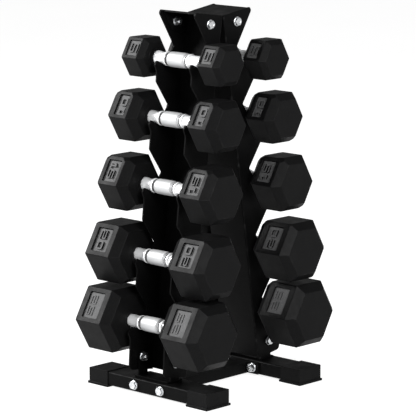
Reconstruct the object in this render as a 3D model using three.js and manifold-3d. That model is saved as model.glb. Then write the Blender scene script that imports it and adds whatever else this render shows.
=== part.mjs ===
import * as THREE from "three";
import { mergeVertices } from "three/addons/utils/BufferGeometryUtils.js";
import Module from "manifold-3d";

const wasm = await Module();
wasm.setup();

// Driving dimensions, millimetres. +Z up, X along the handles, front at -Y.
const GAP = 0.3;
const SHEET = 3;

// A-frame: two folded channels that lean together
const APEX_Z = 645.6;
const LEAN = THREE.MathUtils.degToRad(8.35);
const CHANNEL_HALF = 42.5;
const CHANNEL_LENGTH = 620;
const EDGE_TOP = 69;
const EDGE_FRONT = 61;
const EDGE_FOOT = 57.5;
const THROAT = 26;
const NOSE = 68;

// Hooks: distance down the channel from the apex to each handle, and how far out
const SEAT_DOWN = [82.2, 184.1, 300, 421.4, 536.7];
const SEAT_OUT = 45.5;
const NECK_RADIUS = 10.5;

// Dumbbells: pounds, width across flats, where the full hexagon starts and ends, how far the
// chamfers run on beyond it and how wide the faces are there, and the slope it slides out at
const DUMBBELLS = [
  { lb: 5, flats: 67.9, inner: 72.2, outer: 106.4, endCut: 9.1, endFace: 0.76, innerCut: 9.1, innerFace: 0.76, lift: 45 },
  { lb: 10, flats: 85, inner: 74.5, outer: 113.7, endCut: 14.3, endFace: 0.75, innerCut: 15.2, innerFace: 0.72, lift: 35 },
  { lb: 15, flats: 93, inner: 75.9, outer: 119.9, endCut: 13.3, endFace: 0.76, innerCut: 15.1, innerFace: 0.75, lift: 35 },
  { lb: 20, flats: 102, inner: 73.3, outer: 129, endCut: 12.1, endFace: 0.77, innerCut: 15.4, innerFace: 0.79, lift: 25 },
  { lb: 25, flats: 110, inner: 73.8, outer: 131.6, endCut: 13.9, endFace: 0.76, innerCut: 16, innerFace: 0.81, lift: 9 },
];

// Sunk number panels, one entry per dumbbell: start and end along X, half their height on the face
const PANELS = [
  { start: 75.5, end: 100, half: 14 },
  { start: 81.6, end: 106.7, half: 18.7 },
  { start: 82.4, end: 113, half: 19.7 },
  { start: 85.4, end: 118.5, half: 21.3 },
  { start: 85.3, end: 118.3, half: 23.5 },
];
const PANEL_DEPTH = 1.8;
const SPIGOT_RADIUS = 9;
const SPIGOT_LENGTH = 18;

// Feet
const BAR_INNER = 91.5;
const BAR_OUTER = 143.8;
const BAR_BOTTOM = 3;
const BAR_TOP = 27;
const BAR_WALL = 2;
const BAR_HALF = 138;
const CAP_START = 96;
const CAP_END = 141.2;
const CAP_INNER = 90;
const CAP_OUTER = 145.3;
const CAP_TOP = 28.2;
const SOLE_LIP = 2;
const SOLE_HEIGHT = 4;

// Base beam and its end plates
const BEAM_HALF = 20;
const BEAM_BOTTOM = 3.5;
const BEAM_TOP = 22.5;
const END_PLATE_HALF = 44;

// Bolts
const SHANK = 4;
const WASHER_RADIUS = 9;
const WASHER_HEIGHT = 1.5;
const HEAD_RADIUS = 7.5;
const HEAD_HEIGHT = 5.5;
const NUT_RADIUS = 7.5;
const NUT_HEIGHT = 8;
const TOP_BOLT = { down: 17, out: 31 };
const LOW_BOLT = { y: 117.8, z: 60.8 };
const FOOT_BOLT = { x: 31.5, z: 15 };

const group = new THREE.Group();
group.name = "dumbbell_rack";

const STEEL = { color: 0x16171a, metalness: 0.4, roughness: 0.45 };
const RUBBER = { color: 0x2a2b2d, metalness: 0, roughness: 0.75 };
const CHROME = { color: 0xd8dadd, metalness: 1, roughness: 0.15 };
const ZINC = { color: 0xc4c8cb, metalness: 1, roughness: 0.3 };

function solid(geometry) {
  const clean = geometry.clone();
  clean.deleteAttribute("normal");
  clean.deleteAttribute("uv");
  const merged = mergeVertices(clean, 1e-4);
  return new wasm.Manifold(new wasm.Mesh({
    numProp: 3,
    vertProperties: new Float32Array(merged.attributes.position.array),
    triVerts: new Uint32Array(merged.index.array),
  }));
}

function toGeometry(manifold) {
  const mesh = manifold.getMesh();
  const geometry = new THREE.BufferGeometry();
  geometry.setAttribute("position", new THREE.BufferAttribute(new Float32Array(mesh.vertProperties), 3));
  geometry.setIndex(new THREE.BufferAttribute(new Uint32Array(mesh.triVerts), 1));
  geometry.computeVertexNormals();
  return geometry;
}

function add(name, geometry, look) {
  const mesh = new THREE.Mesh(geometry, new THREE.MeshStandardMaterial(look));
  mesh.name = name;
  group.add(mesh);
}

function box(x0, x1, y0, y1, z0, z1) {
  const geometry = new THREE.BoxGeometry(x1 - x0, y1 - y0, z1 - z0);
  geometry.translate((x0 + x1) / 2, (y0 + y1) / 2, (z0 + z1) / 2);
  return geometry;
}

// A rod along X, centred on (0, y, z)
function rodX(radius, length, y, z, x = 0) {
  const geometry = new THREE.CylinderGeometry(radius, radius, length, 12);
  geometry.rotateZ(Math.PI / 2);
  geometry.translate(x, y, z);
  return geometry;
}

// Corner points [a, b, radius] joined by straight lines, each corner rounded to its radius
function roundedOutline(corners, steps = 3) {
  const points = [];
  const count = corners.length;
  for (let i = 0; i < count; i += 1) {
    const here = new THREE.Vector2(corners[i][0], corners[i][1]);
    const radius = corners[i][2] ?? 0;
    if (radius === 0) {
      points.push(here);
      continue;
    }
    const before = new THREE.Vector2(...corners[(i + count - 1) % count]).sub(here).normalize();
    const after = new THREE.Vector2(...corners[(i + 1) % count]).sub(here).normalize();
    const half = Math.acos(THREE.MathUtils.clamp(before.dot(after), -1, 1)) / 2;
    const reach = radius / Math.tan(half);
    const start = here.clone().addScaledVector(before, reach);
    const end = here.clone().addScaledVector(after, reach);
    const centre = before.clone().add(after).normalize().multiplyScalar(radius / Math.sin(half)).add(here);
    const first = Math.atan2(start.y - centre.y, start.x - centre.x);
    let sweep = Math.atan2(end.y - centre.y, end.x - centre.x) - first;
    sweep = Math.atan2(Math.sin(sweep), Math.cos(sweep));
    for (let k = 0; k <= steps; k += 1) {
      const angle = first + (sweep * k) / steps;
      points.push(new THREE.Vector2(centre.x + radius * Math.cos(angle), centre.y + radius * Math.sin(angle)));
    }
  }
  return points;
}

// Outline in (out, down) of the channel, extruded across X from x0 to x1, in the rear channel's place
function channelSlab(points, x0, x1) {
  const shape = new THREE.Shape(points.map((p) => new THREE.Vector2(p.x, -p.y)));
  const geometry = new THREE.ExtrudeGeometry(shape, { depth: x1 - x0, bevelEnabled: false, steps: 1 });
  const turn = new THREE.Matrix4().makeBasis(
    new THREE.Vector3(0, 1, 0),
    new THREE.Vector3(0, 0, 1),
    new THREE.Vector3(1, 0, 0),
  );
  geometry.applyMatrix4(turn);
  geometry.translate(x0, 0, 0);
  return leanBack(geometry);
}

function leanBack(geometry) {
  geometry.rotateX(LEAN);
  geometry.translate(0, 0, APEX_Z);
  return geometry;
}

function onChannel(down, out) {
  return {
    y: down * Math.sin(LEAN) + out * Math.cos(LEAN),
    z: APEX_Z - down * Math.cos(LEAN) + out * Math.sin(LEAN),
  };
}

function turned(geometry, side) {
  const copy = geometry.clone();
  if (side === "front") copy.rotateZ(Math.PI);
  return copy;
}

// Outline of the flange, as (out, down): one hook below every handle
function flangeCorners() {
  const corners = [
    [GAP, 0],
    [EDGE_TOP - 2, 0, 3],
    [EDGE_TOP + 1, 6, 5],
  ];
  const seat = NECK_RADIUS + GAP;
  SEAT_DOWN.forEach((down, tier) => {
    const slope = THREE.MathUtils.degToRad(DUMBBELLS[tier].lift) - LEAN;
    corners.push([THROAT, down - 23, 3]);
    corners.push([THROAT + 5.5, down - 13, 4]);
    corners.push([SEAT_OUT - seat, down - 5, 4]);
    for (let angle = -90; angle <= THREE.MathUtils.radToDeg(slope) + 0.01; angle += 15) {
      const turn = THREE.MathUtils.degToRad(angle);
      corners.push([SEAT_OUT + seat * Math.sin(turn), down + seat * Math.cos(turn)]);
    }
    const lipOut = SEAT_OUT + seat * Math.sin(slope);
    const lipDown = down + seat * Math.cos(slope);
    const rise = Math.min(lipDown - down - 3.5, (NOSE - lipOut) * Math.tan(slope));
    corners.push([lipOut, lipDown]);
    corners.push([NOSE - 3, lipDown - rise * 0.8, 3]);
    corners.push([NOSE + 1, lipDown - rise * 0.8 + 8, 5]);
    corners.push([EDGE_FRONT + 1, lipDown - rise * 0.8 + 20, 8]);
    if (tier < SEAT_DOWN.length - 1) {
      corners.push([EDGE_FRONT, SEAT_DOWN[tier + 1] - 61, 5]);
    }
  });
  corners.push([EDGE_FOOT, CHANNEL_LENGTH, 8]);
  corners.push([GAP, CHANNEL_LENGTH]);
  return corners;
}

function makeUpright() {
  const outline = roundedOutline(flangeCorners());
  const block = solid(channelSlab(outline, -CHANNEL_HALF, CHANNEL_HALF));
  const inside = CHANNEL_HALF - SHEET;
  const hollow = leanBack(box(-inside, inside, GAP + SHEET, 90, -CHANNEL_LENGTH - 5, 5));
  const topNotch = leanBack(box(-inside, inside, -5, 90, -SHEET - 2 * GAP, 5));
  const footNotch = leanBack(box(-inside, inside, -5, 90, -CHANNEL_LENGTH - 5, -CHANNEL_LENGTH + 2.6));
  const bolt = onChannel(TOP_BOLT.down, TOP_BOLT.out);
  const width = 2 * CHANNEL_HALF + 10;
  return block
    .subtract(solid(hollow))
    .subtract(solid(topNotch))
    .subtract(solid(footNotch))
    .subtract(solid(rodX(SHANK + GAP, width, bolt.y, bolt.z)))
    .subtract(solid(rodX(SHANK + GAP, width, LOW_BOLT.y, LOW_BOLT.z)));
}

const upright = toGeometry(makeUpright());
add("front_upright", turned(upright, "front"), STEEL);
add("rear_upright", turned(upright, "rear"), STEEL);

// Top bracket: two sloping plates that meet over the apex, with ears folded down inside the flanges
function makeTopBracket() {
  const half = CHANNEL_HALF - SHEET - GAP;
  const reach = EDGE_TOP - 6;
  const plate = leanBack(box(-half, half, -1, reach, -SHEET, 0));
  const earOutline = roundedOutline([
    [SHEET + 2 * GAP, 1],
    [reach - 2, 1],
    [reach - 2, 6, 4],
    [40, 32, 8],
    [SHEET + 2 * GAP, 38, 4],
  ]);
  let bracket = null;
  for (const side of ["front", "rear"]) {
    let half3d = solid(turned(plate, side));
    for (const x of [-half, half - SHEET]) {
      half3d = half3d.add(solid(turned(channelSlab(earOutline, x, x + SHEET), side)));
    }
    bracket = bracket ? bracket.add(half3d) : half3d;
  }
  const bolt = onChannel(TOP_BOLT.down, TOP_BOLT.out);
  for (const y of [-bolt.y, bolt.y]) {
    bracket = bracket.subtract(solid(rodX(SHANK + GAP, 2 * CHANNEL_HALF + 10, y, bolt.z)));
  }
  return bracket;
}

add("top_bracket", toGeometry(makeTopBracket()), STEEL);

// Lower bracket: plate on the foot bar with two ears inside the channel's flanges
function makeLowerBracket() {
  const half = CHANNEL_HALF - SHEET - GAP;
  const back = 98;
  const earBack = 106;
  const front = 127;
  const floor = CAP_TOP - 1.2 + GAP;
  let bracket = solid(box(-half, half, back, front + 8, floor, floor + SHEET));
  const ear = new THREE.Shape(roundedOutline([
    [earBack, floor + 1],
    [front, floor + 1],
    [front, 60, 6],
    [front - 6, 70, 6],
    [earBack, 70, 4],
    [earBack, 50],
  ]));
  for (const x of [-half, half - SHEET]) {
    const geometry = new THREE.ExtrudeGeometry(ear, { depth: SHEET, bevelEnabled: false, steps: 1 });
    geometry.applyMatrix4(new THREE.Matrix4().makeBasis(
      new THREE.Vector3(0, 1, 0),
      new THREE.Vector3(0, 0, 1),
      new THREE.Vector3(1, 0, 0),
    ));
    geometry.translate(x, 0, 0);
    bracket = bracket.add(solid(geometry));
  }
  return bracket.subtract(solid(rodX(SHANK + GAP, 2 * CHANNEL_HALF, LOW_BOLT.y, LOW_BOLT.z)));
}

const lowerBracket = toGeometry(makeLowerBracket());
add("front_lower_bracket", turned(lowerBracket, "front"), STEEL);
add("rear_lower_bracket", turned(lowerBracket, "rear"), STEEL);

// Foot bars: rectangular tube along X
function rodY(radius, y0, y1, x, z) {
  const geometry = new THREE.CylinderGeometry(radius, radius, y1 - y0, 12);
  geometry.translate(x, (y0 + y1) / 2, z);
  return geometry;
}

function makeFootBar() {
  const outer = box(-BAR_HALF, BAR_HALF, BAR_INNER, BAR_OUTER, BAR_BOTTOM, BAR_TOP);
  const bore = box(
    -BAR_HALF - 1, BAR_HALF + 1,
    BAR_INNER + BAR_WALL, BAR_OUTER - BAR_WALL,
    BAR_BOTTOM + BAR_WALL, BAR_TOP - BAR_WALL,
  );
  let tube = solid(outer).subtract(solid(bore));
  for (const x of [-FOOT_BOLT.x, FOOT_BOLT.x]) {
    tube = tube.subtract(solid(rodY(SHANK + GAP, BAR_INNER - 5, BAR_OUTER + 5, x, FOOT_BOLT.z)));
  }
  return tube;
}

const footBar = toGeometry(makeFootBar());
add("front_foot_bar", turned(footBar, "front"), STEEL);
add("rear_foot_bar", turned(footBar, "rear"), STEEL);

// Rubber caps pushed over the bar ends, with a sole that stands proud all round
function makeFootCap(x0, x1, sole0, sole1) {
  const body = solid(box(x0, x1, CAP_INNER, CAP_OUTER, 0, CAP_TOP));
  const sole = solid(box(sole0, sole1, CAP_INNER - SOLE_LIP, CAP_OUTER + SOLE_LIP, 0, SOLE_HEIGHT));
  const reach = BAR_HALF + GAP;
  const socket = solid(box(
    -reach, reach,
    BAR_INNER - GAP, BAR_OUTER + GAP,
    BAR_BOTTOM - GAP, BAR_TOP + GAP,
  ));
  return body.add(sole).subtract(socket);
}

const capRight = toGeometry(makeFootCap(CAP_START, CAP_END, CAP_START - SOLE_LIP, CAP_END + SOLE_LIP));
const capLeft = toGeometry(makeFootCap(-CAP_END, -CAP_START, -CAP_END - SOLE_LIP, -CAP_START + SOLE_LIP));
add("rear_foot_cap_right", capRight, RUBBER);
add("rear_foot_cap_left", capLeft, RUBBER);
add("front_foot_cap_left", turned(capRight, "front"), RUBBER);
add("front_foot_cap_right", turned(capLeft, "front"), RUBBER);

// Base beam: rectangular tube between the foot bars, an end plate welded at each end
function makeBaseBeam() {
  const plateFace = BAR_INNER - GAP;
  const plateBack = plateFace - SHEET;
  let beam = solid(box(-BEAM_HALF, BEAM_HALF, -plateBack - 1, plateBack + 1, BEAM_BOTTOM, BEAM_TOP));
  for (const y of [-plateFace, plateBack]) {
    beam = beam.add(solid(box(-END_PLATE_HALF, END_PLATE_HALF, y, y + SHEET, BEAM_BOTTOM, BAR_TOP - 1)));
  }
  beam = beam.subtract(solid(box(
    -BEAM_HALF + BAR_WALL, BEAM_HALF - BAR_WALL,
    -plateFace - 1, plateFace + 1,
    BEAM_BOTTOM + BAR_WALL, BEAM_TOP - BAR_WALL,
  )));
  for (const x of [-FOOT_BOLT.x, FOOT_BOLT.x]) {
    beam = beam.subtract(solid(rodY(SHANK + GAP, -plateFace - 5, plateFace + 5, x, FOOT_BOLT.z)));
  }
  return beam;
}

add("base_beam", toGeometry(makeBaseBeam()), STEEL);

// Bolt, two washers and nut turned about +Y, head towards +Y. grip is what it clamps
function makeBolt(grip) {
  const profile = [
    [0, grip / 2 + HEAD_HEIGHT],
    [HEAD_RADIUS - 0.7, grip / 2 + HEAD_HEIGHT],
    [HEAD_RADIUS, grip / 2 + HEAD_HEIGHT - 0.9],
    [HEAD_RADIUS, grip / 2 + WASHER_HEIGHT],
    [WASHER_RADIUS, grip / 2 + WASHER_HEIGHT],
    [WASHER_RADIUS, grip / 2],
    [SHANK, grip / 2],
    [SHANK, -grip / 2],
    [WASHER_RADIUS, -grip / 2],
    [WASHER_RADIUS, -grip / 2 - WASHER_HEIGHT],
    [NUT_RADIUS, -grip / 2 - WASHER_HEIGHT],
    [NUT_RADIUS, -grip / 2 - NUT_HEIGHT],
    [0, -grip / 2 - NUT_HEIGHT],
  ];
  return new THREE.LatheGeometry(profile.reverse().map((p) => new THREE.Vector2(...p)), 12);
}

function placeBolts() {
  const sheetGrip = 2 * SHEET + 3 * GAP;
  const sheetMiddle = CHANNEL_HALF + GAP - sheetGrip / 2;
  const top = onChannel(TOP_BOLT.down, TOP_BOLT.out);
  const spots = { top_bolt: top, lower_bolt: LOW_BOLT };
  for (const [name, spot] of Object.entries(spots)) {
    for (const side of ["front", "rear"]) {
      for (const hand of ["left", "right"]) {
        const outward = hand === "right" ? 1 : -1;
        const bolt = makeBolt(sheetGrip);
        bolt.rotateZ((-Math.PI / 2) * outward);
        bolt.translate(outward * sheetMiddle, side === "front" ? -spot.y : spot.y, spot.z);
        add(`${name}_${side}_${hand}`, bolt, ZINC);
      }
    }
  }
  const grip = BAR_OUTER - BAR_INNER + SHEET + 3 * GAP;
  const middle = BAR_OUTER + GAP - grip / 2;
  for (const side of ["front", "rear"]) {
    for (const hand of ["left", "right"]) {
      const bolt = makeBolt(grip);
      bolt.translate(0, middle, FOOT_BOLT.z);
      const placed = turned(bolt, side);
      placed.translate(hand === "right" ? FOOT_BOLT.x : -FOOT_BOLT.x, 0, 0);
      add(`foot_bolt_${side}_${hand}`, placed, ZINC);
    }
  }
}

placeBolts();

// Hexagonal head for the right end, turned about +Y with six sides, then laid along +X
function makeHead(size) {
  const around = size.flats / Math.sqrt(3);
  const face = size.inner - size.innerCut;
  const boreEnd = face + SPIGOT_LENGTH + GAP;
  const bore = (SPIGOT_RADIUS + GAP) / Math.cos(Math.PI / 6);
  const profile = [
    [0, boreEnd],
    [bore, boreEnd],
    [bore, face],
    [around * size.innerFace, face],
    [around, size.inner],
    [around, size.outer],
    [around * size.endFace, size.outer + size.endCut],
    [0, size.outer + size.endCut],
  ];
  const geometry = new THREE.LatheGeometry(profile.map((p) => new THREE.Vector2(...p)), 6);
  geometry.rotateZ(-Math.PI / 2);
  geometry.rotateX(Math.PI / 2);
  return solid(geometry);
}

// Sunk number panels on the two upper sloping faces, for the right head (hand 1) or the left (hand -1)
function panelCutter(size, panel, hand) {
  const length = panel.end - panel.start;
  const cutters = [-1, 1].map((side) => {
    const geometry = new THREE.BoxGeometry(length, 2 * panel.half, 2 * PANEL_DEPTH);
    geometry.translate(hand * ((panel.start + panel.end) / 2), 0, size.flats / 2);
    geometry.rotateX(side * (Math.PI / 3));
    return solid(geometry);
  });
  return cutters[0].add(cutters[1]);
}

// Contoured chrome handle: thick grip, step ring, neck at the hooks, collar and spigot at each head
function makeHandle(size) {
  const end = size.inner - size.innerCut;
  const halfProfile = [
    [14, 0],
    [13.5, 14],
    [12.4, 28],
    [13, 29.5],
    [12.4, 35],
    [NECK_RADIUS, 37],
    [NECK_RADIUS, 49],
    [12.8, end - GAP],
    [SPIGOT_RADIUS, end - GAP],
    [SPIGOT_RADIUS, end + SPIGOT_LENGTH],
    [0, end + SPIGOT_LENGTH],
  ];
  const left = halfProfile.slice(1).map(([r, x]) => [r, -x]).reverse();
  const profile = [...left, ...halfProfile];
  const geometry = new THREE.LatheGeometry(profile.map((p) => new THREE.Vector2(...p)), 14);
  geometry.rotateZ(-Math.PI / 2);
  return geometry;
}

DUMBBELLS.forEach((size, tier) => {
  const spot = onChannel(SEAT_DOWN[tier], SEAT_OUT);
  const handle = makeHandle(size);
  const head = makeHead(size);
  const rightHead = toGeometry(head.subtract(panelCutter(size, PANELS[tier], 1)));
  const leftHead = toGeometry(head.mirror([1, 0, 0]).subtract(panelCutter(size, PANELS[tier], -1)));
  for (const side of ["front", "rear"]) {
    const place = (geometry) => {
      const copy = geometry.clone();
      copy.translate(0, side === "front" ? -spot.y : spot.y, spot.z);
      return copy;
    };
    const name = `${side}_${size.lb}lb`;
    add(`${name}_handle`, place(handle), CHROME);
    add(`${name}_head_right`, place(rightHead), RUBBER);
    add(`${name}_head_left`, place(leftHead), RUBBER);
  }
});

export default group;
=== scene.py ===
import math

import bmesh
import bpy
import numpy as np
from mathutils import Matrix, Vector


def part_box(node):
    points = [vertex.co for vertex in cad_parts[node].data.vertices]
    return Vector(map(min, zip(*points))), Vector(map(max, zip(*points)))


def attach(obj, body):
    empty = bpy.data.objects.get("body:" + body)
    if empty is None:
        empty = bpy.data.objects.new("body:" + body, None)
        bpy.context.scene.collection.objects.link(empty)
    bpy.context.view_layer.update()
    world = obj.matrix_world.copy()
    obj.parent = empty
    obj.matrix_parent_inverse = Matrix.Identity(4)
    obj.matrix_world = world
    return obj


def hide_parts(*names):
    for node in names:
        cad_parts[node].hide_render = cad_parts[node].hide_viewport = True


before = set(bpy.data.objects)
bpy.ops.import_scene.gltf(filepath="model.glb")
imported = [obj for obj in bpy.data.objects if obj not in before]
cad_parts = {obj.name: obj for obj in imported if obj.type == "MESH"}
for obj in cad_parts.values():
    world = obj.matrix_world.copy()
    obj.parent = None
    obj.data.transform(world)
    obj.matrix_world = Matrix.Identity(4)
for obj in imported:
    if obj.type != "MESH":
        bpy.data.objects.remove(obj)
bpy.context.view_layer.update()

MM = 0.001

# The same driving sizes as the CAD source, in millimetres
GAP = 0.3
SHEET = 3
APEX_Z = 645.6
LEAN = math.radians(8.35)
CHANNEL_HALF = 42.5
SEAT_DOWN = (82.2, 184.1, 300, 421.4, 536.7)
SEAT_OUT = 45.5
NECK = 10.5
BAR_INNER = 91.5
BAR_OUTER = 143.8
BAR_BOTTOM = 3
BAR_TOP = 27

# Pounds, width across flats, where the full hexagon starts and ends along X, how far the chamfers
# run on beyond it, and the size of the faces there as a share of the full hexagon
DUMBBELLS = (
    dict(lb=5, flats=67.9, inner=72.2, outer=106.4,
         end_cut=9.1, end_face=0.76, inner_cut=9.1, inner_face=0.76),
    dict(lb=10, flats=85, inner=74.5, outer=113.7,
         end_cut=14.3, end_face=0.75, inner_cut=15.2, inner_face=0.72),
    dict(lb=15, flats=93, inner=75.9, outer=119.9,
         end_cut=13.3, end_face=0.76, inner_cut=15.1, inner_face=0.75),
    dict(lb=20, flats=102, inner=73.3, outer=129,
         end_cut=12.1, end_face=0.77, inner_cut=15.4, inner_face=0.79),
    dict(lb=25, flats=110, inner=73.8, outer=131.6,
         end_cut=13.9, end_face=0.76, inner_cut=16, inner_face=0.81),
)
# Where the rubber boss round the end of the handle starts along X
BOSS = 56

# Number panels, one per dumbbell: start and end along X, half height on the face, depth, and the
# cut on the corners of the head's face; then height, width, rise and shift along X of the numerals
PANELS = (
    dict(start=74.6, end=100, half=14, depth=2.4, corner=2.2,
         tall=17, wide=17, rise=2.2, slide=1.6),
    dict(start=81.6, end=104.6, half=18.7, depth=3.2, corner=7,
         tall=14, wide=15, rise=3, slide=3.2),
    dict(start=82.4, end=113, half=19.7, depth=3.2, corner=8,
         tall=14, wide=15.5, rise=3, slide=-1.4),
    dict(start=84, end=118.5, half=21.3, depth=3.4, corner=3.5,
         tall=14, wide=16, rise=3.2, slide=-1.4),
    dict(start=85.3, end=120.4, half=23.5, depth=2.8, corner=0,
         tall=14, wide=16.5, rise=1.1, slide=-5),
)
# The two upper faces of a head that carry panels, in degrees from +Y towards +Z
PANEL_TURNS = (30, 150)
# Stroke of a numeral, and the broader one of 0 and 1
STROKE = 2.1
BROAD_STROKE = 3
DIGIT_GAP = 3.6
ONE_WIDTH = 8
# The numerals start this far under the floor of their panel
DIGIT_ROOT = 0.15


# ---------------------------------------------------------------- materials

def node(tree, kind, **values):
    made = tree.nodes.new(kind)
    for key, value in values.items():
        made.inputs[key].default_value = value
    return made


def start_material(name):
    material = bpy.data.materials.new(name)
    material.use_nodes = True
    tree = material.node_tree
    shader = tree.nodes["Principled BSDF"]
    place = tree.nodes.new("ShaderNodeTexCoord").outputs["Object"]
    return material, tree, shader, place


def noise(tree, place, scale, detail=3.0, rough=0.5):
    made = node(tree, "ShaderNodeTexNoise", Scale=scale, Detail=detail, Roughness=rough)
    tree.links.new(place, made.inputs["Vector"])
    return made.outputs["Fac"]


def spread(tree, value, window, span=(0, 1)):
    """Stretches a value from the window to the span, and clamps it there."""
    made = tree.nodes.new("ShaderNodeMapRange")
    for name, number in zip(("From Min", "From Max", "To Min", "To Max"), (*window, *span)):
        made.inputs[name].default_value = number
    tree.links.new(value, made.inputs["Value"])
    return made.outputs["Result"]


def patches(tree, place, grain, window, span=(0, 1)):
    """Noise of the given (scale, detail, roughness), stretched from the window to the span."""
    return spread(tree, noise(tree, place, *grain), window, span)


def blend_colour(tree, factor, low, high):
    made = tree.nodes.new("ShaderNodeMix")
    made.data_type = "RGBA"
    tree.links.new(factor, made.inputs["Factor"])
    for socket, value in ((made.inputs[6], low), (made.inputs[7], high)):
        if isinstance(value, tuple):
            socket.default_value = (*value, 1)
        else:
            tree.links.new(value, socket)
    return made.outputs[2]


def multiply(tree, a, b):
    made = tree.nodes.new("ShaderNodeMath")
    made.operation = "MULTIPLY"
    tree.links.new(a, made.inputs[0])
    if isinstance(b, (int, float)):
        made.inputs[1].default_value = b
    else:
        tree.links.new(b, made.inputs[1])
    return made.outputs[0]


def edge_mask(tree, place, scale, window):
    """Worn edges: the rounded edge strips of each mesh, broken up by noise."""
    attribute = tree.nodes.new("ShaderNodeAttribute")
    attribute.attribute_name = "edge"
    return multiply(tree, attribute.outputs["Fac"], patches(tree, place, (scale, 4), window))


def connect(tree, shader, colour, rough, height, strength, distance):
    """Gives the shader its colour and roughness, and a bump of the given height field."""
    tree.links.new(colour, shader.inputs["Base Color"])
    tree.links.new(rough, shader.inputs["Roughness"])
    bump = node(tree, "ShaderNodeBump", Strength=strength, Distance=distance)
    tree.links.new(height, bump.inputs["Height"])
    tree.links.new(bump.outputs["Normal"], shader.inputs["Normal"])


def powder_coat():
    material, tree, shader, place = start_material("black_powder_coat")
    cloudy = patches(tree, place, (9, 4), (0.3, 0.7))
    base = blend_colour(tree, cloudy, (0.0016, 0.0016, 0.0016), (0.0024, 0.0024, 0.0025))
    grit = patches(tree, place, (1400, 2), (0.58, 0.72))
    speckled = blend_colour(tree, grit, base, (0.006, 0.006, 0.0061))
    edges = edge_mask(tree, place, 90, (0.5, 0.72))
    worn = blend_colour(tree, edges, speckled, (0.016, 0.0161, 0.0163))
    rough = patches(tree, place, (45, 5), (0.3, 0.7), (0.4, 0.54))
    shader.inputs["Specular IOR Level"].default_value = 0.04
    connect(tree, shader, worn, rough, noise(tree, place, 650, 2, 0.4), 0.22, 0.00025)
    return material


def head_rubber(name, dark, light, fleck, rough_span):
    """Matt rubber with a fine pale grain, scuffs and worn edges."""
    material, tree, shader, place = start_material(name)
    cloudy = patches(tree, place, (16, 5), (0.3, 0.7))
    base = blend_colour(tree, cloudy, dark, light)
    grain = patches(tree, place, (900, 3, 0.6), (0.46, 0.66))
    grained = blend_colour(tree, grain, base, fleck)
    scuffs = multiply(tree, patches(tree, place, (34, 8, 0.62), (0.62, 0.7)), 0.35)
    scuffed = blend_colour(tree, scuffs, grained, fleck)
    pale = tuple(1.5 * c for c in fleck)
    worn = blend_colour(tree, edge_mask(tree, place, 70, (0.46, 0.66)), scuffed, pale)
    rough = patches(tree, place, (60, 4), (0.3, 0.7), rough_span)
    shader.inputs["Specular IOR Level"].default_value = 0.05
    connect(tree, shader, worn, rough, noise(tree, place, 850, 3, 0.55), 0.3, 0.0003)
    return material


def metal(name, metallic, tint, dark, light, rough, dents, strength):
    """Plated metal. tint and rough are the arguments of patches, dents the grain of the bump."""
    material, tree, shader, place = start_material(name)
    base = blend_colour(tree, patches(tree, place, *tint), dark, light)
    shader.inputs["Metallic"].default_value = metallic
    dull = patches(tree, place, *rough)
    connect(tree, shader, base, dull, noise(tree, place, *dents), strength, 0.0002)
    return material


def floor_white():
    """Pale floor that glows a little, so that it is white in the render."""
    material, tree, shader, place = start_material("floor_white")
    soft = patches(tree, place, (2.5, 2), (0.3, 0.7))
    base = blend_colour(tree, soft, (0.24, 0.24, 0.24), (0.26, 0.26, 0.26))
    tree.links.new(base, shader.inputs["Base Color"])
    shader.inputs["Emission Color"].default_value = (1, 1, 1, 1)
    shader.inputs["Emission Strength"].default_value = 0.88
    shader.inputs["Roughness"].default_value = 0.9
    return material


STEEL = powder_coat()
RUBBER = head_rubber(
    "head_rubber", (0.0025, 0.0025, 0.0026), (0.0036, 0.0036, 0.0037),
    (0.0072, 0.0072, 0.0074), (0.4, 0.5),
)
# Lighter rubber of the panel floors and the tops of the numerals, its lightness partly a painted
# highlight of the key light on these faces
SUNK = head_rubber(
    "panel_floor_rubber", (0.052, 0.0522, 0.053), (0.066, 0.0662, 0.067),
    (0.095, 0.095, 0.096), (0.4, 0.5),
)
FOOT = head_rubber(
    "foot_rubber", (0.0028, 0.0028, 0.0029), (0.004, 0.004, 0.0041),
    (0.0075, 0.0075, 0.0077), (0.5, 0.64),
)
CHROME = metal(
    "polished_chrome", 0.35, ((25, 3), (0.3, 0.7)), (0.86, 0.87, 0.885), (0.92, 0.925, 0.93),
    ((120, 6, 0.65), (0.3, 0.75), (0.2, 0.3)), (300, 2), 0.04,
)
SATIN = metal(
    "satin_chrome", 0.4, ((25, 3), (0.3, 0.7)), (0.4, 0.405, 0.41), (0.5, 0.503, 0.508),
    ((160, 5, 0.6), (0.3, 0.75), (0.42, 0.54)), (300, 2), 0.04,
)
# Dark chrome in the two grooves of a handle: painted shade for the shadow deep in each groove
GROOVE_SHADE = metal(
    "groove_painted_shade", 0.3, ((180, 5, 0.6), (0.35, 0.65)), (0.05, 0.05, 0.05), (0.14, 0.14, 0.142),
    ((260, 3), (0.3, 0.7), (0.5, 0.7)), (500, 2), 0.1,
)
ZINC = metal(
    "bright_zinc", 1.0, ((420, 3), (0.35, 0.65)), (0.56, 0.575, 0.59), (0.74, 0.75, 0.76),
    ((700, 3), (0.3, 0.7), (0.22, 0.4)), (900, 2), 0.12,
)


# ---------------------------------------------------------------- mesh helpers

def is_sharp(edge, angle):
    """True where two faces meet at an edge and turn by more than so many degrees."""
    return edge.calc_face_angle(0) > math.radians(angle)


def finish_piece(name, mesh, body, nodes, materials):
    """Makes a mesh into a piece that rides on a body and stands for CAD nodes."""
    for material in materials:
        mesh.materials.append(material)
    piece = bpy.data.objects.new(name, mesh)
    bpy.context.scene.collection.objects.link(piece)
    weighted = piece.modifiers.new("normals", "WEIGHTED_NORMAL")
    weighted.keep_sharp = True
    weighted.weight = 80
    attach(piece, body)
    if nodes:
        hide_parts(*nodes)
    return piece


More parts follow.
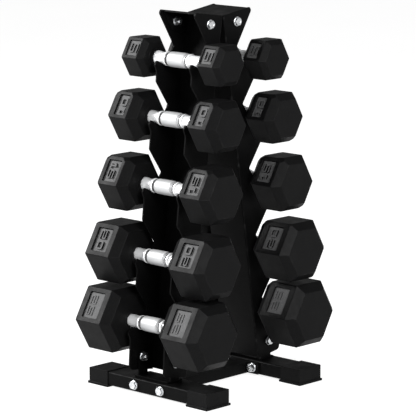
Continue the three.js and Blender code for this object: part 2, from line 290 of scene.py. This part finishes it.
def finish_mesh(name, bm, body, nodes, materials, smooth_angle=32):
    """The same for a bmesh in millimetres, shaded smooth up to the given angle."""
    bmesh.ops.recalc_face_normals(bm, faces=bm.faces)
    bmesh.ops.scale(bm, vec=(MM, MM, MM), verts=bm.verts)
    for face in bm.faces:
        face.smooth = True
    for edge in bm.edges:
        if is_sharp(edge, smooth_angle):
            edge.smooth = False
    mesh = bpy.data.meshes.new(name)
    bm.to_mesh(mesh)
    bm.free()
    return finish_piece(name, mesh, body, nodes, materials)


def edge_layer(bm):
    """The vertex layer that marks worn edges. Adding it drops any vertex held in a variable."""
    return bm.verts.layers.float.get("edge") or bm.verts.layers.float.new("edge")


def soften(bm, width, segments=3, angle=30, chosen=None):
    """Rounds the sharp edges, and marks the middle of each rounded strip as an edge that wears."""
    if chosen is None:
        chosen = [edge for edge in bm.edges if is_sharp(edge, angle)]
    made = bmesh.ops.bevel(
        bm, geom=chosen, offset=width, segments=segments, profile=0.5,
        affect="EDGES", clamp_overlap=True, offset_type="OFFSET",
    )
    strips = set(made["faces"])
    layer = edge_layer(bm)
    for vert in made["verts"]:
        if all(face in strips for face in vert.link_faces):
            vert[layer] = 1.0


def cad_copy(name):
    """The CAD node's own surface in millimetres, with its triangles joined back into flat faces."""
    bm = bmesh.new()
    bm.from_mesh(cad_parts[name].data)
    bmesh.ops.scale(bm, vec=(1000, 1000, 1000), verts=bm.verts)
    bmesh.ops.remove_doubles(bm, verts=bm.verts, dist=0.002)
    bmesh.ops.dissolve_limit(
        bm, angle_limit=math.radians(0.6), verts=bm.verts, edges=bm.edges,
    )
    edge_layer(bm)
    return bm


def ring(bm, points):
    return [bm.verts.new(p) for p in points]


def turns(count):
    return [2 * math.pi * k / count for k in range(count)]


def circle(bm, place, radius, along, count):
    """Vertices round an axis; place(along, a, b) gives the position of each."""
    return ring(bm, [
        place(along, radius * math.cos(a), radius * math.sin(a)) for a in turns(count)
    ])


def skin(bm, *loops):
    """Faces between each loop of vertices and the next."""
    for a, b in zip(loops, loops[1:]):
        for i in range(len(a)):
            j = (i + 1) % len(a)
            bm.faces.new((a[i], a[j], b[j], b[i]))


def fan(bm, tip, loop):
    for i in range(len(loop)):
        bm.faces.new((tip, loop[i], loop[(i + 1) % len(loop)]))


def round_corners(corners, radius, steps=3):
    """A closed outline with each corner turned into an arc. radius is one number, or a list."""
    radii = radius if isinstance(radius, list) else [radius] * len(corners)
    points = []
    for i, (corner, size) in enumerate(zip(corners, radii)):
        here = Vector(corner)
        before = Vector(corners[i - 1]) - here
        after = Vector(corners[(i + 1) % len(corners)]) - here
        room = 0.48 * min(before.length, after.length)
        before.normalize()
        after.normalize()
        half = math.acos(max(-1, min(1, before.dot(after)))) / 2
        reach = min(size / math.tan(half), room)
        start, end = here + before * reach, here + after * reach
        for k in range(steps + 1):
            t = k / steps
            points.append(start * (1 - t) ** 2 + here * 2 * t * (1 - t) + end * t * t)
    return points


def fill_between(bm, outer, inner, normal):
    """Flat faces between an outer loop of vertices and a loop inside it."""
    edges = []
    for loop in (outer, inner):
        for i, vert in enumerate(loop):
            pair = (vert, loop[(i + 1) % len(loop)])
            edges.append(bm.edges.get(pair) or bm.edges.new(pair))
    bmesh.ops.triangle_fill(bm, use_beauty=True, use_dissolve=False, edges=edges, normal=normal)


def open_face(bm, normal):
    """Takes out the largest face that looks along a normal, and returns the loop round it."""
    facing = [face for face in bm.faces if face.normal.dot(normal) > 0.999]
    widest = max(facing, key=lambda face: face.calc_area())
    rim = [loop.vert for loop in widest.loops]
    bm.faces.remove(widest)
    return rim


# ---------------------------------------------------------------- handles

# Ends of the knurled grip along X, which is off centre on the real handles
GRIP_LEFT = -26.4
GRIP_RIGHT = 14.2
GRIP_RADIUS = 13.35
GRIP_RINGS = 84
# The grip narrows by so much at this distance from its middle
GRIP_CROWN = 0.25
CROWN_REACH = 17
# Plain shoulder at each end of the grip, and the first ring of the grip past it
SHOULDER = 3.6
FIRST_RING = 4.2
# Middle of each groove beyond the end of the grip, and half its width
GROOVE_MIDDLE = 2.5
GROOVE_HALF = 2.2
KNURL_DEPTH = 0.28
KNURL_COUNT = 40
KNURL_RADIUS = 13.5
KNURL_FADE = 1.6
AROUND = 160
# The neck that lies in the hook ends here, and the end of the handle flares up to the boss
NECK_END = 43.6
FLARE_SLOPE = 0.28

# (X beyond the end of the grip, radius): shoulder, groove, step ring and start of the neck
SLEEVE = (
    (-3.6, 13.1), (-2.4, 12.85), (-1.3, 12.35), (-0.5, 11.6), (0, 10.7), (0.4, 9.7), (0.9, 9.2),
    (4.1, 9.2), (4.5, 9.8), (4.8, 11.4), (5.3, 12.1), (6, 12.4), (8.2, 12.4), (9, 12), (9.6, 11.4),
    (10.4, 10.8), (11.2, NECK),
)
# (X beyond the inner face of the head, radius): the spigot hidden in its socket
SPIGOT = ((2.4, 9.4), (2.8, 9), (16.8, 9), (17.6, 8.6), (17.9, 7.8))


def handle_spot(tier, side):
    """Centre of the handle that lies in a hook, in millimetres."""
    down = SEAT_DOWN[tier]
    y = down * math.sin(LEAN) + SEAT_OUT * math.cos(LEAN)
    z = APEX_Z - down * math.cos(LEAN) + SEAT_OUT * math.sin(LEAN)
    return Vector((0, -y if side == "front" else y, z))


def flare_points(start, end, steps=7):
    """An S-shaped run from one (x, radius) point to another."""
    points = []
    for k in range(steps + 1):
        t = k / steps
        ease = t * t * (3 - 2 * t)
        points.append((start[0] + (end[0] - start[0]) * t, start[1] + (end[1] - start[1]) * ease))
    return points


def sleeve_end(start, face):
    """Profile from an end of the grip to the hidden end of the spigot, for a head's inner face."""
    wide = NECK + FLARE_SLOPE * (face - BOSS)
    points = [(start + x, r) for x, r in SLEEVE]
    points += [(NECK_END, NECK)]
    points += flare_points((NECK_END + 1, NECK), (BOSS, wide))
    points += [(face + 1.8, wide), (face + 2.2, wide - 0.3)]
    return points + [(face + x, r) for x, r in SPIGOT]


def grip_points():
    """Crowned profile of the knurled part."""
    middle = (GRIP_LEFT + GRIP_RIGHT) / 2
    xs = np.linspace(GRIP_LEFT + FIRST_RING, GRIP_RIGHT - FIRST_RING, GRIP_RINGS)
    return [(x, GRIP_RADIUS - GRIP_CROWN * ((x - middle) / CROWN_REACH) ** 2) for x in xs]


def handle_mesh(name, size):
    """Chrome handle in one piece, with a knurled grip between its two grooves."""
    face = size["inner"] - size["inner_cut"]
    left = [(-x, r) for x, r in reversed(sleeve_end(-GRIP_LEFT, face))]
    profile = left + grip_points() + sleeve_end(GRIP_RIGHT, face)
    xs = np.array([x for x, r in profile])
    radii = np.array([r for x, r in profile])
    angles = np.linspace(0, 2 * math.pi, AROUND, endpoint=False)
    x_grid, a_grid = np.meshgrid(xs, angles, indexing="ij")

    # Two sets of helical grooves that cross, faded out towards the shoulders
    around = KNURL_COUNT * a_grid
    lengthwise = 2 * math.pi * x_grid / (2 * math.pi * KNURL_RADIUS / KNURL_COUNT)
    diamond = np.abs(np.sin((around + lengthwise) / 2)) * np.abs(np.sin((around - lengthwise) / 2))
    fade = np.clip((x_grid - GRIP_LEFT - SHOULDER) / KNURL_FADE, 0, 1)
    fade = fade * np.clip((GRIP_RIGHT - SHOULDER - x_grid) / KNURL_FADE, 0, 1)
    radius = radii[:, None] - KNURL_DEPTH * (1 - diamond) * fade

    bm = bmesh.new()
    rings = [
        ring(bm, [(x, r * math.cos(a), r * math.sin(a)) for r, a in zip(row, angles)])
        for x, row in zip(xs, radius)
    ]
    skin(bm, *rings)
    for x, loop in ((xs[0], rings[0]), (xs[-1], rings[-1])):
        fan(bm, bm.verts.new((x, 0, 0)), loop)
    bmesh.ops.recalc_face_normals(bm, faces=bm.faces)
    grooves = (GRIP_LEFT - GROOVE_MIDDLE, GRIP_RIGHT + GROOVE_MIDDLE)
    for face in bm.faces:
        face.smooth = True
        along = face.calc_center_median().x
        # Faces in the two grooves take the dark groove chrome, which is painted shade
        if any(abs(along - groove) < GROOVE_HALF for groove in grooves):
            face.material_index = 2
        elif GRIP_LEFT < along < GRIP_RIGHT:
            face.material_index = 1
    bmesh.ops.scale(bm, vec=(MM, MM, MM), verts=bm.verts)
    mesh = bpy.data.meshes.new(name)
    bm.to_mesh(mesh)
    bm.free()
    return mesh


# ---------------------------------------------------------------- heads

PANEL_CORNER = 1.6
BOSS_COUNT = 36


def face_normal(turn):
    return Vector((0, math.cos(math.radians(turn)), math.sin(math.radians(turn))))


def sink_panel(bm, size, panel, hand, turn):
    """Opens one face of a head and lets a panel with rounded corners into it."""
    normal = face_normal(turn)
    up = Vector((1, 0, 0))
    right = up.cross(normal)
    rim = open_face(bm, normal)
    centre = up * (hand * (panel["start"] + panel["end"]) / 2) + normal * size["flats"] / 2
    deep = panel["depth"]
    # (how far the outline grows, depth), from the face down to the floor of the panel
    levels = (
        (0.55, 0), (0.2, 0.12), (0, 0.45), (-0.2, deep - 0.5), (-0.3, deep - 0.15), (-0.5, deep),
    )
    loops = []
    for grow, depth in levels:
        a = (panel["end"] - panel["start"]) / 2 + grow
        b = panel["half"] + grow
        corners = [(-a, -b), (a, -b), (a, b), (-a, b)]
        outline = round_corners(corners, PANEL_CORNER + max(grow, -0.6), 4)
        loops.append(ring(bm, [
            centre + up * p.x + right * p.y - normal * depth for p in outline
        ]))
    fill_between(bm, rim, loops[0], normal)
    skin(bm, *loops)
    # The floor takes the lighter panel rubber, whose lightness is partly a painted highlight
    bm.faces.new(loops[-1]).material_index = 1


def head_bmesh(size, panel, hand):
    """Rubber hex head with rounded edges, a socket for the handle and two sunk number panels."""
    bm = bmesh.new()
    edge_layer(bm)
    around = size["flats"] / math.sqrt(3)
    face = size["inner"] - size["inner_cut"]

    def place(along, y, z):
        return hand * along, y, z

    stations = (
        (face, around * size["inner_face"]),
        (size["inner"], around),
        (size["outer"], around),
        (size["outer"] + size["end_cut"], around * size["end_face"]),
    )
    rings = [circle(bm, place, r, x, 6) for x, r in stations]
    skin(bm, *rings)
    bm.faces.new(rings[0])
    bm.faces.new(rings[-1])
    bmesh.ops.recalc_face_normals(bm, faces=bm.faces)
    if panel["corner"]:
        corners = [rings[k][i] for k in (1, 2) for i in (2, 5)]
        bmesh.ops.bevel(
            bm, geom=corners, offset=panel["corner"], segments=1, profile=0.5,
            affect="VERTICES", clamp_overlap=True, offset_type="OFFSET",
        )
    soften(bm, 0.9, segments=3, angle=12)
    bmesh.ops.recalc_face_normals(bm, faces=bm.faces)
    for turn in PANEL_TURNS:
        sink_panel(bm, size, panel, hand, turn)

    # (radius, X beyond the inner face): raised boss round the end of the handle, and its socket
    inward = Vector((-hand, 0, 0))
    rim = open_face(bm, inward)
    rise = face - BOSS
    levels = (
        (17, 0), (16.2, -0.15), (15.7, -0.6), (15.2, 0.9 - rise), (14.9, 0.3 - rise),
        (14.3, -rise), (13, -rise), (12.6, 0.4 - rise), (12.6, 2.9), (9.6, 3.1), (9.3, 3.5),
        (9.3, 18.3),
    )
    loops = [circle(bm, place, r, face + depth, BOSS_COUNT) for r, depth in levels]
    fill_between(bm, rim, loops[0], inward)
    skin(bm, *loops)
    bm.faces.new(loops[-1])
    return bm


# ---------------------------------------------------------------- numerals

def box_corners(wide, tall, inset):
    right, top = wide - inset, tall - inset
    return [(inset, inset), (right, inset), (right, top), (inset, top)]


def glyph(char, wide, tall):
    """Outlines of a block numeral as (corners, radii), the outer one first."""
    if char == "0":
        outer, inner = box_corners(wide, tall, 0), box_corners(wide, tall, BROAD_STROKE)
        return [(outer, 4.2), (inner, 1.8)]
    if char == "1":
        t = BROAD_STROKE
        left, right = (wide - t) / 2, (wide + t) / 2
        foot_left, foot_right = wide / 2 - 4, wide / 2 + 4
        return [([
            (foot_left, 0), (foot_right, 0), (foot_right, t), (right, t), (right, tall),
            (left, tall), (left - 4, tall - 2.4), (left - 4, tall - 5), (left, tall - 3.4),
            (left, t), (foot_left, t),
        ], 0.4)]
    t = STROKE
    low, high = (tall - t) / 2, (tall + t) / 2
    five = [
        (0, 0), (wide, 0), (wide, high), (t, high), (t, tall - t), (wide, tall - t),
        (wide, tall), (0, tall), (0, low), (wide - t, low), (wide - t, t), (0, t),
    ]
    radii = [0.4, 2.6, 2.6, 0.8, 0.8, 0.4, 0.4, 1.2, 0.8, 1.2, 1.2, 0.4]
    if char == "5":
        return [(five, radii)]
    # A block two is a block five in a mirror
    return [([(wide - x, y) for x, y in reversed(five)], radii[::-1])]


def add_digit(bm, outlines, at, rise):
    """One raised numeral; at(point, lift) gives the position of an outline's point."""
    bottoms, tops = [], []
    for corners, radii in outlines:
        flat = round_corners(corners, radii, 3)
        bottom, top = (ring(bm, [at(p, lift) for p in flat]) for lift in (0, rise))
        skin(bm, bottom, top)
        bottoms.append(bottom)
        tops.append(top)
    up = at(Vector((0, 0)), 1) - at(Vector((0, 0)), 0)
    for loops, facing in ((bottoms, -up), (tops, up)):
        if len(loops) == 1:
            bm.faces.new(loops[0])
        else:
            fill_between(bm, *loops, facing)


def digits_bmesh(size, panel, hand, away):
    """The raised weight numerals on both sunk panels of one head."""
    bm = bmesh.new()
    edge_layer(bm)
    text = str(size["lb"])
    widths = [ONE_WIDTH if char == "1" else panel["wide"] for char in text]
    total = sum(widths) + DIGIT_GAP * (len(text) - 1)
    middle = hand * (panel["start"] + panel["end"]) / 2 + panel["slide"]
    for turn in PANEL_TURNS:
        normal = face_normal(turn)
        up = Vector((hand if away else -hand, 0, 0))
        right = up.cross(normal)
        below = size["flats"] / 2 - panel["depth"] - DIGIT_ROOT
        floor = Vector((middle, 0, 0)) + normal * below
        along = -total / 2
        for char, wide in zip(text, widths):

            def at(p, lift):
                across = right * (along + p.x)
                return floor + across + up * (p.y - panel["tall"] / 2) + normal * lift

            add_digit(bm, glyph(char, wide, panel["tall"]), at, panel["rise"] + DIGIT_ROOT)
            along += wide + DIGIT_GAP
    bmesh.ops.recalc_face_normals(bm, faces=bm.faces)
    tops = [
        edge for edge in bm.edges if is_sharp(edge, 60)
        and any(f.normal.z > 0.4 and abs(f.normal.x) < 0.01 for f in edge.link_faces)
    ]
    soften(bm, 0.32, segments=2, chosen=tops)
    # The tops are as light as the panel's floor, and the sides as dark as the head: the dark sides
    # are painted shade, as the numerals are all one rubber
    for face in bm.faces:
        flatness = max(abs(face.normal.dot(face_normal(turn))) for turn in PANEL_TURNS)
        face.material_index = 1 if flatness < 0.5 else 0
    return bm


for tier, (size, panel) in enumerate(zip(DUMBBELLS, PANELS)):
    grip = handle_mesh(f"handle_{size['lb']}lb", size)
    for side in ("front", "rear"):
        spot = handle_spot(tier, side)
        stem = f"{side}_{size['lb']}lb"
        body = f"{stem}_dumbbell"
        mesh = grip.copy()
        mesh.transform(Matrix.Translation(spot * MM))
        finish_piece(
            f"{stem}_grip", mesh, body, [f"{stem}_handle"], [CHROME, SATIN, GROOVE_SHADE],
        )
        for hand, word in ((1, "right"), (-1, "left")):
            head = head_bmesh(size, panel, hand)
            bmesh.ops.translate(head, vec=spot, verts=head.verts)
            finish_mesh(
                f"{stem}_hex_{word}", head, body, [f"{stem}_head_{word}"],
                [RUBBER, SUNK], 40,
            )
            # As in the photo, the left 10 lb heads have their numerals the other way round
            away = size["lb"] == 10 and hand == -1
            numbers = digits_bmesh(size, panel, hand, away)
            bmesh.ops.translate(numbers, vec=spot, verts=numbers.verts)
            finish_mesh(
                f"{stem}_numerals_{word}", numbers, body, [], [SUNK, RUBBER], 40,
            )


# ---------------------------------------------------------------- rack

def runs_down(edge):
    return abs(edge.verts[0].co.x - edge.verts[1].co.x) <= 1


def height_over_web(point):
    """Distance of a point from the plane of a channel's web, towards its hooks."""
    return abs(point.y) * math.cos(LEAN) + (point.z - APEX_Z) * math.sin(LEAN)


def bend_edges(bm, half, height):
    """Edges down a channel at the given half width and height over the web, not across its end."""
    return [
        edge for edge in bm.edges if runs_down(edge) and all(
            abs(abs(vert.co.x) - half) < 0.06 and abs(height_over_web(vert.co) - height) < 0.08
            for vert in edge.verts
        )
    ]


for side in ("front", "rear"):
    channel = cad_copy(f"{side}_upright")
    soften(channel, 4.2, segments=4, chosen=bend_edges(channel, CHANNEL_HALF, GAP))
    inner_bends = bend_edges(channel, CHANNEL_HALF - SHEET, GAP + SHEET)
    soften(channel, 1.6, segments=3, chosen=[e for e in inner_bends if is_sharp(e, 30)])
    soften(channel, 0.45, segments=2, angle=35)
    finish_mesh(
        f"{side}_channel", channel, "rack", [f"{side}_upright"], [STEEL],
    )

for name, piece_name, width in (
    ("top_bracket", "top_plate", 0.5),
    ("front_lower_bracket", "front_foot_bracket", 0.5),
    ("rear_lower_bracket", "rear_foot_bracket", 0.5),
    ("base_beam", "beam_and_end_plates", 0.6),
):
    part = cad_copy(name)
    soften(part, width, segments=2, angle=35)
    finish_mesh(piece_name, part, "rack", [name], [STEEL])

for side in ("front", "rear"):
    bar = cad_copy(f"{side}_foot_bar")
    outside = [
        edge for edge in bar.edges
        if is_sharp(edge, 60) and abs(edge.verts[0].co.x - edge.verts[1].co.x) > 200
        and min(abs(edge.verts[0].co.z - z) for z in (BAR_BOTTOM, BAR_TOP)) < 0.2
    ]
    soften(bar, 2.6, segments=4, chosen=outside)
    soften(bar, 0.4, segments=2, angle=50)
    finish_mesh(f"{side}_floor_bar", bar, "rack", [f"{side}_foot_bar"], [STEEL])
    for hand in ("left", "right"):
        cap = cad_copy(f"{side}_foot_cap_{hand}")
        soften(cap, 1.0, segments=3, angle=50)
        finish_mesh(
            f"{side}_cap_{hand}", cap, "rack", [f"{side}_foot_cap_{hand}"],
            [FOOT], 40,
        )


# ---------------------------------------------------------------- bolts

WASHER = 1.5
WASHER_RADIUS = 8.2
WASHER_HOLE = 4.2
HEX = 6.5
HEX_COUNT = 48
HEAD_TALL = 3.95
NUT_TALL = 6.4
NUT_HOLE = 4.15
SHANK = 3.9
PITCH = 1.25
# Radius where the cone starts on the end of a head or nut, and where it has cut the corners
CONE_START = HEX * 0.95
CONE_END = HEX * 1.145
CONE_SLOPE = 0.55
# Keeps washer and head, or washer and nut, apart by a hair
HAIR = 0.02


def hex_radius(angle):
    return HEX / math.cos((angle + math.pi / 6) % (math.pi / 3) - math.pi / 6)


def hex_block(bm, place, start, end, bored):
    """Hexagon with coned corners: at both ends for a nut, at the far end for a bolt head."""
    toward = 1 if end > start else -1

    def hexagon(along, sense, coned):
        points = []
        for a in turns(HEX_COUNT):
            r, drop = hex_radius(a), 0
            if coned:
                r = min(r, CONE_END)
                drop = (r - CONE_START) * CONE_SLOPE
            points.append(place(along - sense * drop, r * math.cos(a), r * math.sin(a)))
        return ring(bm, points)

    def round_loop(radius, along):
        return circle(bm, place, radius, along, HEX_COUNT)

    if bored:
        loops = [
            round_loop(NUT_HOLE, start), round_loop(CONE_START, start),
            hexagon(start, -toward, True), hexagon(end, toward, True),
            round_loop(CONE_START, end), round_loop(NUT_HOLE + 0.45, end),
            round_loop(NUT_HOLE, end - toward * 0.5),
        ]
        skin(bm, *loops, loops[0])
        return
    loops = [
        hexagon(start, 0, False), hexagon(end, toward, True), round_loop(CONE_START, end),
        round_loop(HEX * 0.66, end), round_loop(HEX * 0.6, end - toward * 0.35),
        round_loop(HEX * 0.3, end - toward * 0.55),
    ]
    skin(bm, *loops)
    bm.faces.new(loops[-1])
    bm.faces.new(loops[0])


def add_washer(bm, place, inner, sense):
    """Washer from inner outwards along sense, with its outer edge rounded."""
    outer = inner + sense * WASHER
    rim = WASHER_RADIUS
    profile = (
        (WASHER_HOLE, inner), (rim - 0.3, inner), (rim, inner + sense * 0.3),
        (rim, outer - sense * 0.4), (rim - 0.3, outer - sense * 0.05), (rim - 0.6, outer),
        (WASHER_HOLE, outer),
    )
    loops = [circle(bm, place, r, along, HEX_COUNT) for r, along in profile]
    skin(bm, *loops, loops[0])


def add_shank(bm, place, top, nut_start, end):
    """Shank with a thread from inside the nut down to its end."""
    along = nut_start + 2
    profile = [(SHANK, top), (SHANK, along)]
    while along - PITCH > end + 1.2:
        profile += [
            (SHANK, along - 0.15), (SHANK - 0.55, along - PITCH * 0.55),
            (SHANK, along - PITCH + 0.1),
        ]
        along -= PITCH
    profile += [(SHANK - 0.1, end + 0.9), (SHANK - 0.9, end)]
    loops = [circle(bm, place, r, x, 24) for r, x in profile]
    skin(bm, *loops)
    fan(bm, bm.verts.new(place(top, 0, 0)), loops[0])
    fan(bm, bm.verts.new(place(end, 0, 0)), loops[-1])


def bolt_bmesh(place, grip, tail):
    """Hex bolt with two washers and a nut; the head is past +grip/2 and the tail past the nut."""
    bm = bmesh.new()
    top = grip / 2 + WASHER
    nut_start = -top - HAIR
    nut_end = nut_start - NUT_TALL
    hex_block(bm, place, top + HAIR, top + HEAD_TALL, False)
    hex_block(bm, place, nut_start, nut_end, True)
    for sense in (1, -1):
        add_washer(bm, place, sense * grip / 2, sense)
    add_shank(bm, place, top, nut_start, nut_end - tail)
    return bm


def add_bolt(name, node_name, centre, axis, grip, tail):
    """centre is the middle of the clamped stack and axis points to the head."""
    axis = Vector(axis)
    side_a = Vector((0, 0, 1))
    side_b = axis.cross(side_a)

    def place(along, a, b):
        return Vector(centre) + axis * along + side_a * a + side_b * b

    finish_mesh(name, bolt_bmesh(place, grip, tail), "rack", [node_name], [ZINC], 30)


# Two sheets at the top and lower bolts; the whole foot bar and one sheet at the foot bolts
sheet_grip = 2 * SHEET + 3 * GAP
sheet_middle = CHANNEL_HALF + GAP - sheet_grip / 2
bar_grip = BAR_OUTER - BAR_INNER + SHEET + 3 * GAP
bar_middle = BAR_OUTER + GAP - bar_grip / 2
for side, front in (("front", -1), ("rear", 1)):
    for word, hand in (("left", -1), ("right", 1)):
        for stem in ("top_bolt", "lower_bolt"):
            low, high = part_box(f"{stem}_{side}_{word}")
            centre = (low + high) / 2 / MM
            add_bolt(
                f"{side}_{stem}_{word}_hex", f"{stem}_{side}_{word}",
                (hand * sheet_middle, centre.y, centre.z), (hand, 0, 0), sheet_grip, 2.2,
            )
        low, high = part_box(f"foot_bolt_{side}_{word}")
        centre = (low + high) / 2 / MM
        add_bolt(
            f"{side}_foot_bolt_{word}_hex", f"foot_bolt_{side}_{word}",
            (centre.x, front * bar_middle, centre.z), (0, front, 0), bar_grip, 2.6,
        )


# ---------------------------------------------------------------- camera, floor and light

def aim(thing, where, target):
    thing.location = where
    toward = Vector(target) - Vector(where)
    thing.rotation_euler = toward.to_track_quat("-Z", "Y").to_euler()
    bpy.context.scene.collection.objects.link(thing)


def area_light(name, where, size, power):
    light = bpy.data.lights.new(name, "AREA")
    light.shape = "RECTANGLE"
    light.size, light.size_y = size, size
    light.energy = power
    aim(bpy.data.objects.new(name, light), where, (0, 0, 0.35))


# A long lens from the photo's viewing angle
scene = bpy.context.scene
camera_data = bpy.data.cameras.new("camera")
camera_data.lens = 224.68
camera_data.sensor_width = 36
camera_data.clip_end = 60
camera = bpy.data.objects.new("camera", camera_data)
aim(camera, (3.0406, -3.2013, 1.1237), (0.0230, -0.0172, 0.3139))
scene.camera = camera

bm = bmesh.new()
bmesh.ops.create_grid(bm, x_segments=2, y_segments=2, size=12)
floor_mesh = bpy.data.meshes.new("floor")
bm.to_mesh(floor_mesh)
bm.free()
floor_mesh.materials.append(floor_white())
floor = bpy.data.objects.new("floor", floor_mesh)
floor.location = (0, 0, -0.0003)
scene.collection.objects.link(floor)

# Brightness of the surroundings near the horizon and above it, and the band between the two,
# as the Z of a direction
HORIZON = 0.7
SKY = 0.26
BAND = (0.1, 0.13)
world = bpy.data.worlds.new("studio")
world.use_nodes = True
tree = world.node_tree
direction = tree.nodes.new("ShaderNodeTexCoord").outputs["Generated"]
split = tree.nodes.new("ShaderNodeSeparateXYZ")
tree.links.new(direction, split.inputs[0])
background = tree.nodes["Background"]
background.inputs["Color"].default_value = (1, 1, 1, 1)
tree.links.new(
    spread(tree, split.outputs["Z"], BAND, (HORIZON, SKY)), background.inputs["Strength"],
)
scene.world = world
scene.view_settings.view_transform = "Standard"

area_light("key", (-2.3, -1.75, 1.9), 1.3, 208)
area_light("fill", (2.6, -1.2, 1.65), 1.2, 102)
